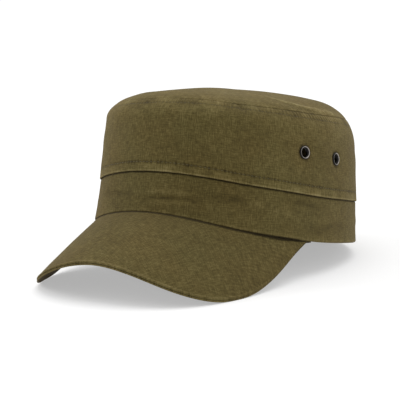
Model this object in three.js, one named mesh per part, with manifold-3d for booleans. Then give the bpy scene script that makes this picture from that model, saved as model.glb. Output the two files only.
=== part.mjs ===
// A soft patrol cap, resting on its peak and on the back of its band.
// Each piece is drawn in the cap's own frame: the wearer's left is +X, the front is -Y and the crown rises
// along +Z from the band's lower edge. The whole cap is then tipped back until it rests by itself.
import * as THREE from 'three';
import { mergeVertices } from 'three/addons/utils/BufferGeometryUtils.js';
import Module from 'manifold-3d';

const wasm = await Module();
wasm.setup();

// Driving sizes, in millimetres and degrees
const hemLength = 208;        // front to back over the outside of the band's lower edge
const hemWidth = 174;         // side to side there
const bandHeight = 30;        // from the band's lower edge to the side panel's, at the side of the cap
const crownHeight = 87.5;     // from the band's lower edge to the top seam, at the side of the cap
const bandThick = 2.2;        // two plies of cloth
const clothThick = 1.4;       // one ply of washed cotton with its turned seams
const pieceGap = 0.3;         // air between pieces that touch
const crownLean = 6.2;        // how far the wall comes in on its way up to the top seam
const leanPower = 0.7;        // a lower power brings it in sooner
const shoulderTurn = 11;      // how far it turns in just below the top seam
const shoulderHeight = 12.5;  // the stretch of wall that makes that turn
const topDome = 12;           // rise of the top panel above its seam
const topCrownPower = 2.6;    // a higher power makes the dome flatter in the middle
const archRise = 14;          // rise of the band's lower edge over the peak
const archPower = 3;          // a higher power keeps the arch nearer the front
const lapCover = 9;           // how far the side panel hangs over the band
const lapFold = 7;            // height of the side panel's turned-up lower edge
const lapProud = 0.6;         // how far that folded edge stands out
const gatherDepth = 0.7;      // depth of the gathers along the top seam
const gatherReach = 12;       // how far from the seam they fade out
const gatherCount = 32;
const peakLength = 54.5;      // from the band to the tip, seen from above
const peakHalfAngle = 67.5;   // where the peak's ends meet the band, round from the front
const peakSlope = 29;         // fall of the peak away from the band
const peakSideDrop = 0.2;     // extra fall at the sides, for each millimetre away from the band
const peakEndWidth = 1.8;     // width of the peak where it runs out
const peakEndThin = 0.45;     // what is left of its thickness there
const peakCoreShare = 0.55;   // how far round its outline the peak keeps its whole thickness
const peakUpperThick = 1.8;   // the upper cover and half of the stiff core
const peakLowerThick = 1.6;   // the lower cover and the other half
const peakSidePower = 2.5;    // squareness of the outline across the cap
const peakFrontPower = 2.4;   // squareness of the outline along it
const eyeletRise = 27.5;      // from the side panel's lower edge to the eyelets' line
const eyeletSpacing = 39;
const eyeletForward = 21;     // the pair's middle lies this far ahead of the cap's widest place
const eyeletHole = 6;
const eyeletFlange = 10;      // outer diameter of the ring
const eyeletBack = 9;         // outer diameter of the rolled side
const eyeletWall = 0.5;
const eyeletCrown = 0.9;      // height of the ring over the cloth
const restSquash = 1;         // how much the cloth gives where it rests

// The two lines that go round the crown: the height at the side, the share of the arch over the peak
// that the line takes up, and its rise from side to front as a share of its height
const seams = {
  lap: { height: bandHeight, archShare: 0.6, frontShare: 0.06 },
  top: { height: crownHeight, archShare: 0.3, frontShare: -0.032 },
};

// The side panel's folded edge, from the edge up: height as a share of lapFold, and how far the cloth
// stands out as a share of lapProud
const foldProfile = [
  { rise: 0, proud: 0.5 },
  { rise: 0.2, proud: 1 },
  { rise: 0.75, proud: 0.8 },
  { rise: 1, proud: 0 },
];

// Rows of the side panel over that fold, as shares of the plain wall and then of the shoulder
const plainRows = [0.5, 1];
const shoulderRows = [0.45, 0.75, 1];

const ringSteps = 96;
const bandRows = 3;
const topRings = 7;
const ringCrowding = 1.4;     // a higher power brings the top panel's rings nearer its seam
const peakRows = 6;
const outlineSteps = 200;
const barrelSides = 12;

const halfLength = hemLength / 2;
const halfWidth = hemWidth / 2;
const radians = THREE.MathUtils.degToRad;

const cloth = (name, color) => new THREE.MeshStandardMaterial({ name, color, roughness: 0.95, metalness: 0 });
const crownCloth = cloth('crown cloth', 0x5d5436);
const bandCloth = cloth('band cloth', 0x554c30);
const peakCloth = cloth('peak cloth', 0x5a5133);
const eyeletMetal = new THREE.MeshStandardMaterial({
  name: 'eyelet metal', color: 0x8f8c84, roughness: 0.35, metalness: 0.9,
});

// Heights round the cap, at an angle counted from the front towards the wearer's left
function lowerEdge(angle) {
  return archRise * Math.max(Math.cos(angle), 0) ** archPower;
}

function seamHeight(seam, angle) {
  const frontRise = seam.frontShare * seam.height * Math.cos(angle);
  return seam.height + seam.archShare * lowerEdge(angle) + frontRise;
}

// How far the wall has come in from the band's lower edge at a height
function wallInset(angle, height) {
  const low = lowerEdge(angle);
  const high = seamHeight(seams.top, angle);
  const share = (height - low) / (high - low);
  const turn = Math.max(0, 1 - (high - height) / shoulderHeight) ** 2;
  return crownLean * share ** leanPower + shoulderTurn * turn;
}

// A point of the wall, so far inside the band's outer face
function wallPoint(angle, height, depth) {
  const inset = wallInset(angle, height) + depth;
  return new THREE.Vector3(
    (halfWidth - inset) * Math.sin(angle),
    -(halfLength - inset) * Math.cos(angle),
    height,
  );
}

function wallNormal(angle, height) {
  const step = 0.01;
  const here = wallPoint(angle, height, 0);
  const round = wallPoint(angle + step, height, 0).sub(here);
  const up = wallPoint(angle, height + step, 0).sub(here);
  return round.cross(up).normalize();
}

function ringAngles() {
  return Array.from({ length: ringSteps }, (_, step) => (step / ringSteps) * 2 * Math.PI);
}

// The faces that join closed sections of equally many points, and close the two ends if there are any
function joinSections(sections, goesRound) {
  const count = sections[0].length;
  const faces = [];
  const addFour = (a, b, c, d) => faces.push([a, b, c], [a, c, d]);
  const spans = goesRound ? sections.length : sections.length - 1;
  for (let span = 0; span < spans; span += 1) {
    const here = span * count;
    const next = ((span + 1) % sections.length) * count;
    for (let side = 0; side < count; side += 1) {
      const after = (side + 1) % count;
      addFour(here + side, next + side, next + after, here + after);
    }
  }
  if (!goesRound) {
    const last = (sections.length - 1) * count;
    for (let side = 0; side < count / 2 - 1; side += 1) {
      const across = count - 1 - side;
      addFour(side, side + 1, across - 1, across);
      addFour(last + across, last + across - 1, last + side + 1, last + side);
    }
  }
  return { points: sections.flat(), faces };
}

// A closed geometry from those faces, turned so that they point out
function closedGeometry({ points, faces }) {
  const corners = faces.flat().map((index) => points[index]);
  const geometry = new THREE.BufferGeometry().setFromPoints(corners);
  const merged = mergeVertices(geometry);
  const index = Array.from(merged.index.array);
  const position = merged.getAttribute('position');
  const corner = (at) => new THREE.Vector3().fromBufferAttribute(position, index[at]);
  const kept = [];
  let volume = 0;
  for (let at = 0; at < index.length; at += 3) {
    const [a, b, c] = index.slice(at, at + 3);
    if (a !== b && b !== c && a !== c) {
      kept.push([a, b, c]);
      volume += corner(at).dot(corner(at + 1).cross(corner(at + 2)));
    }
  }
  const outward = volume > 0 ? kept : kept.map(([a, b, c]) => [a, c, b]);
  merged.setIndex(outward.flat());
  return merged;
}

function toManifold(geometry) {
  const bare = geometry.clone();
  bare.deleteAttribute('normal');
  bare.deleteAttribute('uv');
  const merged = mergeVertices(bare);
  return new wasm.Manifold(new wasm.Mesh({
    numProp: 3,
    vertProperties: new Float32Array(merged.getAttribute('position').array),
    triVerts: new Uint32Array(merged.index.array),
  }));
}

function fromManifold(solid) {
  const mesh = solid.getMesh();
  const geometry = new THREE.BufferGeometry();
  geometry.setAttribute('position', new THREE.BufferAttribute(new Float32Array(mesh.vertProperties), 3));
  geometry.setIndex(Array.from(mesh.triVerts));
  return geometry;
}

// The gathers of the top seam: in and out by turns, and gone at gatherReach from the seam
function gather(angle, fromSeam) {
  const fade = Math.max(0, 1 - fromSeam / gatherReach) ** 2;
  return gatherDepth * fade * Math.cos(gatherCount * angle);
}

function bandGeometry() {
  const sections = ringAngles().map((angle) => {
    const low = lowerEdge(angle);
    const high = seamHeight(seams.lap, angle) + lapCover;
    const rows = Array.from({ length: bandRows + 1 }, (_, row) => low + ((high - low) * row) / bandRows);
    const outside = rows.map((height) => wallPoint(angle, height, 0));
    const inside = rows.map((height) => wallPoint(angle, height, bandThick));
    return [...outside, ...inside.reverse()];
  });
  return closedGeometry(joinSections(sections, true));
}

function sidePanelGeometry() {
  const innerDepth = -pieceGap;
  const outerDepth = innerDepth - clothThick;
  const sections = ringAngles().map((angle) => {
    const low = seamHeight(seams.lap, angle);
    const high = seamHeight(seams.top, angle);
    const foldTop = low + lapFold;
    const shoulder = high - shoulderHeight;
    const folded = foldProfile.map(({ rise, proud }) => ({
      height: THREE.MathUtils.lerp(low, foldTop, rise),
      outer: proud * lapProud,
      inner: 0,
    }));
    const heights = [
      ...plainRows.map((share) => THREE.MathUtils.lerp(foldTop, shoulder, share)),
      ...shoulderRows.map((share) => THREE.MathUtils.lerp(shoulder, high, share)),
    ];
    const plain = heights.map((height) => {
      const ruck = gather(angle, high - height);
      return { height, outer: ruck, inner: ruck };
    });
    const rows = [...folded, ...plain];
    const outside = rows.map(({ height, outer }) => wallPoint(angle, height, outerDepth - outer));
    const inside = rows.map(({ height, inner }) => wallPoint(angle, height, innerDepth - inner));
    return [...outside, ...inside.reverse()];
  });
  const wall = toManifold(closedGeometry(joinSections(sections, true)));
  const holes = eyelets.map((eyelet) => toManifold(eyeletHoleGeometry(eyelet)));
  return fromManifold(holes.reduce((cut, hole) => cut.subtract(hole), wall));
}

// The top panel: rings from its edge to the middle, over and under
function topPanelGeometry() {
  const sections = ringAngles().map((angle) => {
    const seam = seamHeight(seams.top, angle);
    const rim = wallPoint(angle, seam, -pieceGap - clothThick);
    const shares = Array.from({ length: topRings + 1 }, (_, ring) => 1 - (ring / topRings) ** ringCrowding);
    const ringPoint = (share, lift) => {
      const fromSeam = (1 - share) * halfWidth;
      const level = THREE.MathUtils.lerp(crownHeight, seam, share);
      const dome = topDome * (1 - share ** topCrownPower);
      const ruck = gather(angle, fromSeam);
      const spread = share > 0 ? share + (ruck / halfWidth) * share : 0;
      return new THREE.Vector3(rim.x * spread, rim.y * spread, level + dome + lift);
    };
    const over = shares.map((share) => ringPoint(share, pieceGap + clothThick));
    const under = shares.map((share) => ringPoint(share, pieceGap));
    return [...over, ...under.reverse()];
  });
  return closedGeometry(joinSections(sections, true));
}

// Height of the peak's upper face: level under the band, and then falling with the way forward
function peakHeight(x, y) {
  const across = THREE.MathUtils.clamp(x / halfWidth, -1, 1);
  const hemAngle = Math.asin(across);
  const forward = Math.max(0, -halfLength * Math.cos(hemAngle) - y);
  const fall = Math.tan(radians(peakSlope)) + peakSideDrop * across ** 2;
  return lowerEdge(hemAngle) - pieceGap - fall * forward;
}

// The peak's outline, from its left end at -1 through the tip at 0 to its right end at 1
function peakEdge(share) {
  const endAngle = radians(peakHalfAngle);
  const end = wallPoint(endAngle, lowerEdge(endAngle), -peakEndWidth);
  const turn = (share * Math.PI) / 2;
  const side = Math.abs(Math.sin(turn)) ** (2 / peakSidePower);
  const front = Math.max(Math.cos(turn), 0) ** (2 / peakFrontPower);
  return new THREE.Vector2(
    Math.sign(share) * end.x * side,
    end.y - (halfLength + peakLength + end.y) * front,
  );
}

// How thick the peak is along its outline, as a share: whole in front, and thinner past the core's ends
function peakFullness(share) {
  const past = Math.max(0, (Math.abs(share) - peakCoreShare) / (1 - peakCoreShare));
  return 1 - (1 - peakEndThin) * past;
}

// One cover of the peak, whose plies lie between two thicknesses under its upper face
function peakCoverGeometry(pliesOver, pliesHere, gapOver) {
  const steps = Math.round((2 * peakHalfAngle * ringSteps) / 360);
  const sections = Array.from({ length: steps + 1 }, (_, step) => {
    const share = (2 * step) / steps - 1;
    const angle = radians(peakHalfAngle) * share;
    const hemPoint = wallPoint(angle, lowerEdge(angle), 0);
    const tuck = wallPoint(angle, lowerEdge(angle), bandThick);
    const edge = peakEdge(share);
    const level = lowerEdge(angle) - pieceGap;
    const rows = [new THREE.Vector3(tuck.x, tuck.y, level)];
    for (let row = 0; row <= peakRows; row += 1) {
      const out = row / peakRows;
      const x = THREE.MathUtils.lerp(hemPoint.x, edge.x, out);
      const y = THREE.MathUtils.lerp(hemPoint.y, edge.y, out);
      rows.push(new THREE.Vector3(x, y, row === 0 ? level : peakHeight(x, y)));
    }
    const drop = peakFullness(share) / Math.cos(radians(peakSlope));
    const lowered = (depth) => rows.map((point) => point.clone().setZ(point.z - depth));
    const top = lowered(pliesOver * drop + gapOver);
    const bottom = lowered((pliesOver + pliesHere) * drop + gapOver);
    return [...top, ...bottom.reverse()];
  });
  return closedGeometry(joinSections(sections, false));
}

const eyelets = ['left', 'right'].flatMap((hand) => ['front', 'rear'].map((place) => {
  const ahead = eyeletForward + (place === 'front' ? 0.5 : -0.5) * eyeletSpacing;
  const angle = Math.PI / 2 - ahead / halfLength;
  return { name: `eyelet_${hand}_${place}`, angle: hand === 'left' ? angle : -angle };
}));

// The matrix that brings +Y, a lathe's axis, onto the wall's outward normal at an eyelet
function eyeletMatrix({ angle }) {
  const height = seamHeight(seams.lap, angle) + eyeletRise;
  const at = wallPoint(angle, height, -pieceGap - clothThick);
  const out = new THREE.Vector3(0, 1, 0);
  const turn = new THREE.Quaternion().setFromUnitVectors(out, wallNormal(angle, height));
  return new THREE.Matrix4().compose(at, turn, new THREE.Vector3(1, 1, 1));
}

function eyeletHoleGeometry(eyelet) {
  const radius = eyeletHole / 2 + eyeletWall + pieceGap;
  const hole = new THREE.CylinderGeometry(radius, radius, 2 * (clothThick + eyeletHole), barrelSides);
  return hole.applyMatrix4(eyeletMatrix(eyelet));
}

// The ring's section, outside the cloth at plus and inside it at minus
function eyeletGeometry(eyelet) {
  const bore = eyeletHole / 2;
  const barrel = bore + eyeletWall;
  const flange = eyeletFlange / 2;
  const roll = eyeletBack / 2;
  const over = pieceGap;
  const under = -clothThick - pieceGap;
  const crest = over + eyeletCrown;
  const heel = under - eyeletCrown;
  const corners = [
    [bore, heel], [roll, heel + eyeletWall / 2], [roll, under], [barrel, under],
    [barrel, over], [flange, over], [flange, over + eyeletWall], [(flange + barrel) / 2, crest],
    [barrel, crest], [bore, over], [bore, heel],
  ];
  const outline = corners.map(([across, along]) => new THREE.Vector2(across, along));
  const ring = new THREE.LatheGeometry(outline, barrelSides);
  return ring.applyMatrix4(eyeletMatrix(eyelet));
}

// The tilt at which the peak's edge and the back of the band are level
function restTilt() {
  let steepest = 0;
  for (let step = 0; step <= outlineSteps; step += 1) {
    const share = (2 * step) / outlineSteps - 1;
    const edge = peakEdge(share);
    const plies = (peakUpperThick + peakLowerThick) * peakFullness(share);
    const low = peakHeight(edge.x, edge.y) - plies / Math.cos(radians(peakSlope)) - pieceGap;
    steepest = Math.max(steepest, Math.atan2(-low, halfLength - edge.y));
  }
  return steepest;
}

const tilt = restTilt();
const tipBack = new THREE.Matrix4().makeRotationX(-tilt);
const setDown = new THREE.Matrix4().makeTranslation(0, 0, halfLength * Math.sin(tilt) - restSquash);
const toRest = setDown.multiply(tipBack);

// Tips a piece back with the cap, and flattens what would go below the surface
function settle(geometry) {
  geometry.applyMatrix4(toRest);
  const position = geometry.getAttribute('position');
  for (let at = 0; at < position.count; at += 1) {
    position.setZ(at, Math.max(position.getZ(at), 0));
  }
  geometry.computeVertexNormals();
  return geometry;
}

const cap = new THREE.Group();

function addPiece(name, geometry, material) {
  const piece = new THREE.Mesh(settle(geometry), material);
  piece.name = name;
  cap.add(piece);
}

addPiece('top_panel', topPanelGeometry(), crownCloth);
addPiece('side_panel', sidePanelGeometry(), crownCloth);
addPiece('band', bandGeometry(), bandCloth);
addPiece('peak_upper', peakCoverGeometry(0, peakUpperThick, 0), peakCloth);
addPiece('peak_lower', peakCoverGeometry(peakUpperThick, peakLowerThick, pieceGap), peakCloth);
for (const eyelet of eyelets) {
  addPiece(eyelet.name, eyeletGeometry(eyelet), eyeletMetal);
}

// The origin lies under the middle of the cap's box
const middle = new THREE.Box3().setFromObject(cap).getCenter(new THREE.Vector3());
cap.position.set(0, -middle.y, 0);

export default cap;
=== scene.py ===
import math

import bmesh
import bpy
import numpy as np
from mathutils import Matrix, Vector


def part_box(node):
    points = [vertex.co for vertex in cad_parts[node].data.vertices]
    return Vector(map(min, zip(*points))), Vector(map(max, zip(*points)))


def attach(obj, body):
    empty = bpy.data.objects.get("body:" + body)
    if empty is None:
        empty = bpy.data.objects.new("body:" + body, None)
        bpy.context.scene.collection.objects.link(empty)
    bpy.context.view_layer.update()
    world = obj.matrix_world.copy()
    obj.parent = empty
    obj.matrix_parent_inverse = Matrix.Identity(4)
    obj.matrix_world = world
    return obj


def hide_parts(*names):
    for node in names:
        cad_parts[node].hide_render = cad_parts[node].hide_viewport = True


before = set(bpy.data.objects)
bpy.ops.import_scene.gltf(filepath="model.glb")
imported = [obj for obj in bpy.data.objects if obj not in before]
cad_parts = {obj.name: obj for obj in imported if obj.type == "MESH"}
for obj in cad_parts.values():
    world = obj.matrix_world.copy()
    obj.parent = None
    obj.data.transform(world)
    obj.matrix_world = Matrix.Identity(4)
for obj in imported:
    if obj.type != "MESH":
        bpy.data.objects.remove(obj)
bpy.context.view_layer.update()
print("frame loaded:", sorted(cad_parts))

# Sizes here are in millimetres and degrees, and turn into metres as each mesh is made.
# The cap is drawn in its own frame: wearer's left +X, front -Y, up +Z from the band's lower edge.
# An angle is counted from the front towards the wearer's left.
mm = 0.001
bandLow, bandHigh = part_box("band")
capForm = {
    "halfLength": 104,
    "halfWidth": (bandHigh.x - bandLow.x) / 2 / mm,
    "archRise": 13.2,       # of the band's lower edge over the peak
    "archPower": 3.2,
    "shoulder": {"rise": 0.9, "at": 60, "width": 15},   # it flattens out there at each side
    "air": 0.3,             # between pieces that touch
    "tilt": 9.923,          # the cap tips back as it rests
    "setBack": 23.84,       # the band's middle lies this far behind the frame's origin
    "restSquash": 0.2,      # the cloth gives this much where the cap rests
    "floorGive": 0.4,       # where the cloth bears on the floor it flattens over this height
}
# a seam runs a little higher on the front's left than on its right, by sideRise
lapSeam = {"height": 30, "archShare": 0.65, "frontShare": 0.06, "sideRise": 1.0}
topSeam = {"height": 85.8, "archShare": 0.3, "frontShare": -0.0103, "sideRise": 1.1}
tilt = math.radians(capForm["tilt"])
capLift = capForm["halfLength"] * math.sin(tilt) - capForm["restSquash"]


def bell(value, middle, width):
    return np.exp(-(((value - middle) / width) ** 2))


def lowerEdge(angle):
    shoulder = capForm["shoulder"]
    flat = shoulder["rise"] * bell(np.degrees(np.abs(angle)), shoulder["at"], shoulder["width"])
    return capForm["archRise"] * np.maximum(np.cos(angle), 0) ** capForm["archPower"] + flat


def seamHeight(seam, angle):
    frontRise = seam["frontShare"] * seam["height"] * np.cos(angle)
    sideRise = seam["sideRise"] * np.sin(2 * angle) * np.maximum(np.cos(angle), 0) ** 0.4
    return seam["height"] + seam["archShare"] * lowerEdge(angle) + frontRise + sideRise


# From the cap's frame to where it rests, tipped back on its band and peak
def toRest(points):
    y = points[..., 1] * math.cos(tilt) + points[..., 2] * math.sin(tilt) + capForm["setBack"]
    z = points[..., 2] * math.cos(tilt) - points[..., 1] * math.sin(tilt) + capLift
    give = capForm["floorGive"]
    z = np.where(z < give, give * np.exp(np.minimum(z - give, 0) / give), z)
    return np.stack([points[..., 0], y, z], axis=-1) * mm


def smooth(share):
    return share * share * (3 - 2 * share)


def softStep(value, low, high):
    return smooth(np.clip((value - low) / (high - low), 0, 1))


bandForm = {
    "lean": 6.2,            # how far it comes in on its way up to leanHeight
    "leanPower": 0.7,
    "leanHeight": 87.5,
    "thick": 2.2,
    "puff": 1.15,           # the washed cloth stands this far out
}


# A point so far inside the band's plain outer face
def bandPoint(angle, height, depth):
    low = lowerEdge(angle)
    share = np.maximum(height - low, 0) / (bandForm["leanHeight"] - 0.7 * low)
    inset = bandForm["lean"] * share ** bandForm["leanPower"] + depth
    x = (capForm["halfWidth"] - inset) * np.sin(angle)
    y = -(capForm["halfLength"] - inset) * np.cos(angle)
    return np.stack(np.broadcast_arrays(x, y, height), axis=-1)


# The level way out of the band's oval
def levelOut(angle):
    across = np.sin(angle) * capForm["halfLength"]
    ahead = -np.cos(angle) * capForm["halfWidth"]
    way = np.stack([across, ahead, 0 * angle], axis=-1)
    return way / np.linalg.norm(way, axis=-1, keepdims=True)


# Length along the band's lower edge, from the front towards the wearer's left
arcAngles = np.linspace(-math.pi, math.pi, 2881)
arcPoints = bandPoint(arcAngles, lowerEdge(arcAngles), 0)[:, :2]
arcSteps = np.linalg.norm(np.diff(arcPoints, axis=0), axis=1)
loopLength = arcSteps.sum()
arcLengths = np.concatenate([[0], np.cumsum(arcSteps)]) - loopLength / 2
print("band", round(loopLength), "mm round")


def arcOf(angle):
    return np.interp(angle, arcAngles, arcLengths)


def angleAt(along):
    return np.interp(along, arcLengths, arcAngles)


# The crown's outer face: a wall, a soft round corner and a low dome, as one line for each angle
crownForm = {
    "clothThick": 1.4,
    "proud": 1.7,           # over the band's plain outer face
    "lean": 7.12,
    "leanPower": 1,
    "leanHeight": 87.5,
    "roofHeight": 90.1,
    "roofFall": 5.57,       # lower towards the front
    "dome": 12.6,
    "domePower": 1.857,
    "cornerPower": 2.356,   # 2 would be a plain ellipse
    "frontCorner": {"across": 29.7, "down": 13.07},
    "rearCorner": {"across": 29.0, "down": 28.5},
    "sway": (-1.11, -2.22), # the soft crown has slumped a little, to the wearer's right and the front
    "swayRise": 60,
    "evenInset": 14,        # further in than this, both half sizes shrink in step towards the middle
    "wallRows": 40,
    "cornerRows": 59,
    "flatRows": 39,
}


def crownSections(angle):
    form = crownForm
    reach = capForm["halfWidth"]
    low = lowerEdge(angle)
    lap = seamHeight(lapSeam, angle)
    rim = form["roofHeight"] - form["roofFall"] * np.cos(angle) + 0.3 * low
    rear = 1 - softStep(np.cos(angle), -0.6, 0.6)
    across, down = (
        form["frontCorner"][way] * (1 - rear) + form["rearCorner"][way] * rear for way in ("across", "down")
    )
    wall = lap + (rim - down - lap) * np.linspace(0, 1, form["wallRows"])[:, None]
    share = (wall - low) / (form["leanHeight"] - 0.7 * low)
    wallInset = form["lean"] * share ** form["leanPower"] - form["proud"]
    start = wallInset[-1]
    turn = np.linspace(0, math.pi / 2, form["cornerRows"] + 1)[1:, None]
    turn = np.minimum(turn, 1.5707)     # a hair under a quarter turn, whose cosine isn't below 0
    cornerInset = start + across * (1 - np.cos(turn) ** (2 / form["cornerPower"]))
    flatShare = np.linspace(0, 1, form["flatRows"] + 1)[1:, None]
    flatInset = start + across + (reach - start - across) * flatShare
    inset = np.concatenate([wallInset, cornerInset, flatInset])
    roofShare = np.clip((reach - inset[len(wall):]) / (reach - start), 0, 1)
    roof = form["roofHeight"] + (rim - form["roofHeight"]) * roofShare
    roof = roof + form["dome"] * (1 - roofShare ** form["domePower"])
    roof[:len(turn)] -= down * (1 - np.sin(turn) ** (2 / form["cornerPower"]))
    height = np.concatenate([wall, roof])
    inward = np.clip((inset - form["evenInset"]) / (reach - form["evenInset"]), 0, 1)
    halfLength = capForm["halfLength"]
    lengthway = (halfLength - inset) * (1 - inward) + halfLength * (1 - inset / reach) * inward
    x, y = (reach - inset) * np.sin(angle), -lengthway * np.cos(angle)
    sway = np.clip((height - lap) / form["swayRise"], 0, 1.3)
    points = np.stack([x + form["sway"][0] * sway, y + form["sway"][1] * sway, height], axis=-1)
    steps = np.linalg.norm(np.diff(points, axis=0), axis=-1)
    lengths = np.concatenate([0 * low[None], np.cumsum(steps, axis=0)])
    return points, lengths


def columnwise(at, knownAt, known):
    columns = [
        np.interp(at[:, column], knownAt[:, column], known[:, column])
        for column in range(at.shape[1])
    ]
    return np.stack(columns, axis=1)


# How far along its face, up from the lower edge, the crown reaches a height
def heightToLength(angle, height):
    points, lengths = crownSections(angle)
    return columnwise(np.broadcast_to(height, (1, len(angle))), points[..., 2], lengths)[0]


# Lengths along the face to the top seam and to the middle of the top
def crownLengths(angle):
    _, lengths = crownSections(angle)
    return heightToLength(angle, seamHeight(topSeam, angle)), lengths[-1]


def crownAt(angle, length):
    points, lengths = crownSections(angle)
    at = np.broadcast_to(length, (len(length), len(angle)))
    return np.stack([columnwise(at, lengths, points[..., axis]) for axis in range(3)], axis=-1)


# A point of the face and the way out of it
def crownFrame(angle, length):
    here = crownAt(angle, length)
    around = crownAt(angle + 0.004, length) - crownAt(angle - 0.004, length)
    upward = crownAt(angle, length + 0.4) - crownAt(angle, length - 0.4)
    out = np.cross(around, upward)
    size = np.linalg.norm(out, axis=-1, keepdims=True)
    out = np.where(size > 1e-3, out / np.maximum(size, 1e-9), [0, 0, 1])
    return here, out


lumpTable = np.random.default_rng(11).uniform(-1, 1, (32, 32, 32))


# Soft random heights between -1 and 1, about one for each size
def lumps(points, size, seed):
    at = points / size + 17.3 * seed + 100
    cell = np.floor(at).astype(int)
    share = smooth(at - cell)
    height = np.zeros(points.shape[:-1])
    for corner in np.ndindex(2, 2, 2):
        index = (cell + corner) % 32
        weight = np.where(np.array(corner, bool), share, 1 - share).prod(axis=-1)
        height += weight * lumpTable[index[..., 0], index[..., 1], index[..., 2]]
    return height


def alongLine(along, heights):
    at = along / loopLength * len(heights)
    cell = np.floor(at).astype(int)
    share = smooth(at - cell)
    return heights[cell % len(heights)] * (1 - share) + heights[(cell + 1) % len(heights)] * share


# Random along one line that closes on itself round the cap
def ripples(along, pitch, seed):
    return alongLine(along, np.random.default_rng(seed).uniform(-1, 1, round(loopLength / pitch)))


# The same, up and down by turns, as cloth puckers between stitches
def puckers(along, pitch, seed):
    count = 2 * round(loopLength / pitch)
    heights = np.random.default_rng(seed).uniform(0.25, 1, count)
    heights[::2] *= -1
    return alongLine(along, heights)


# Low ridges or hollows along short straight lines: two ends, width and lift of each
def creases(first, second, lines):
    lift = np.zeros(np.broadcast(first, second).shape)
    for firstStart, secondStart, firstEnd, secondEnd, width, height in lines:
        length = math.hypot(firstEnd - firstStart, secondEnd - secondStart)
        wayFirst = (firstEnd - firstStart) / length
        waySecond = (secondEnd - secondStart) / length
        past = (first - firstStart) * wayFirst + (second - secondStart) * waySecond
        aside = (first - firstStart) * waySecond - (second - secondStart) * wayFirst
        begun = softStep(past, -0.2 * length, 0.2 * length)
        ended = softStep(past, 0.8 * length, 1.2 * length)
        ends = begun * (1 - ended)
        lift = lift + height * ends * bell(aside, 0, width)
    return lift


# The whole crown gives a little, alike for all its plies
def crownSoftness(points):
    return 0.6 * lumps(points, 42, 1) + 0.22 * lumps(points, 17, 2)


def gridOf(rows, steps):
    row, step = np.meshgrid(np.arange(rows), np.arange(steps), indexing="ij")
    return row.ravel(), step.ravel()


# Faces of a tube whose rows are rings too, with the row and step of each corner
def ringFaces(rows, steps):
    row, step = gridOf(rows, steps)
    cornerRow = np.stack([row, row, row + 1, row + 1], axis=1) % rows
    cornerStep = np.stack([step, step + 1, step + 1, step], axis=1)
    return cornerRow * steps + cornerStep % steps, cornerRow, cornerStep


# Grain of such a tube round the cap: length along the edge, and how far up
def wrappedGrain(up, cornerRow, cornerStep):
    steps = up.shape[1]
    cornerAngle = -math.pi + cornerStep * (2 * math.pi / steps)
    return np.stack([arcOf(cornerAngle), up[cornerRow, cornerStep % steps]], axis=-1)


def addObject(name, data):
    added = bpy.data.objects.new(name, data)
    bpy.context.scene.collection.objects.link(added)
    return added


# Points in the cap's own frame, grain in millimetres for each face corner
def makePiece(name, points, faces, grain, marks, material):
    mesh = bpy.data.meshes.new(name)
    mesh.from_pydata(toRest(points).tolist(), [], faces)
    mesh.polygons.foreach_set("use_smooth", np.ones(len(mesh.polygons), bool))
    layer = mesh.uv_layers.new(name="grain")
    layer.uv.foreach_set("vector", np.asarray(grain, np.float32).ravel())
    for mark, values in marks.items():
        attribute = mesh.attributes.new(mark, "FLOAT", "POINT")
        attribute.data.foreach_set("value", np.asarray(values, np.float32).ravel())
    mesh.materials.append(material)
    return addObject(name, mesh)


def seat(piece, slot, *nodes):
    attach(piece, "root")
    if nodes:
        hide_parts(*nodes)
    print("made", piece.name, len(piece.data.polygons), "faces")


def newFinish(name):
    material = bpy.data.materials.new(name)
    material.use_nodes = True
    return material, material.node_tree.nodes["Principled BSDF"], material.node_tree.links


def addNode(material, kind, **settings):
    node = material.node_tree.nodes.new(kind)
    for name, value in settings.items():
        setattr(node, name, value)
    return node


def noiseNode(material, vector, scale, detail, **settings):
    node = addNode(material, "ShaderNodeTexNoise", **settings)
    node.inputs["Scale"].default_value = scale
    node.inputs["Detail"].default_value = detail
    material.node_tree.links.new(vector, node.inputs["Vector"])
    return node.outputs["Fac"]


def stretched(material, vector, across, up):
    node = addNode(material, "ShaderNodeVectorMath", operation="MULTIPLY")
    node.inputs[1].default_value = (across, up, 1)
    material.node_tree.links.new(vector, node.inputs[0])
    return node.outputs["Vector"]


# start + each socket times its weight
def weighted(material, parts, start):
    total = None
    for socket, weight in parts:
        node = addNode(material, "ShaderNodeMath", operation="MULTIPLY_ADD")
        node.inputs[1].default_value = weight
        node.inputs[2].default_value = start
        material.node_tree.links.new(socket, node.inputs[0])
        if total is not None:
            material.node_tree.links.new(total, node.inputs[2])
        total = node.outputs[0]
    return total


def markNode(material, name):
    return addNode(material, "ShaderNodeAttribute", attribute_name=name).outputs["Fac"]


def colourRamp(material, value, stops):
    node = addNode(material, "ShaderNodeValToRGB")
    ramp = node.color_ramp
    while len(ramp.elements) < len(stops):
        ramp.elements.new(0.5)
    for element, (position, colour) in zip(ramp.elements, stops):
        element.position = position
        element.color = (*colour, 1)
    material.node_tree.links.new(value, node.inputs["Fac"])
    return node.outputs["Color"]


# Fine relief as deep as distance, in millimetres
def addRelief(material, shader, height, strength, distance):
    bump = addNode(material, "ShaderNodeBump")
    bump.inputs["Strength"].default_value = strength
    bump.inputs["Distance"].default_value = distance * mm
    material.node_tree.links.new(height, bump.inputs["Height"])
    material.node_tree.links.new(bump.outputs["Normal"], shader.inputs["Normal"])


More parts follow.
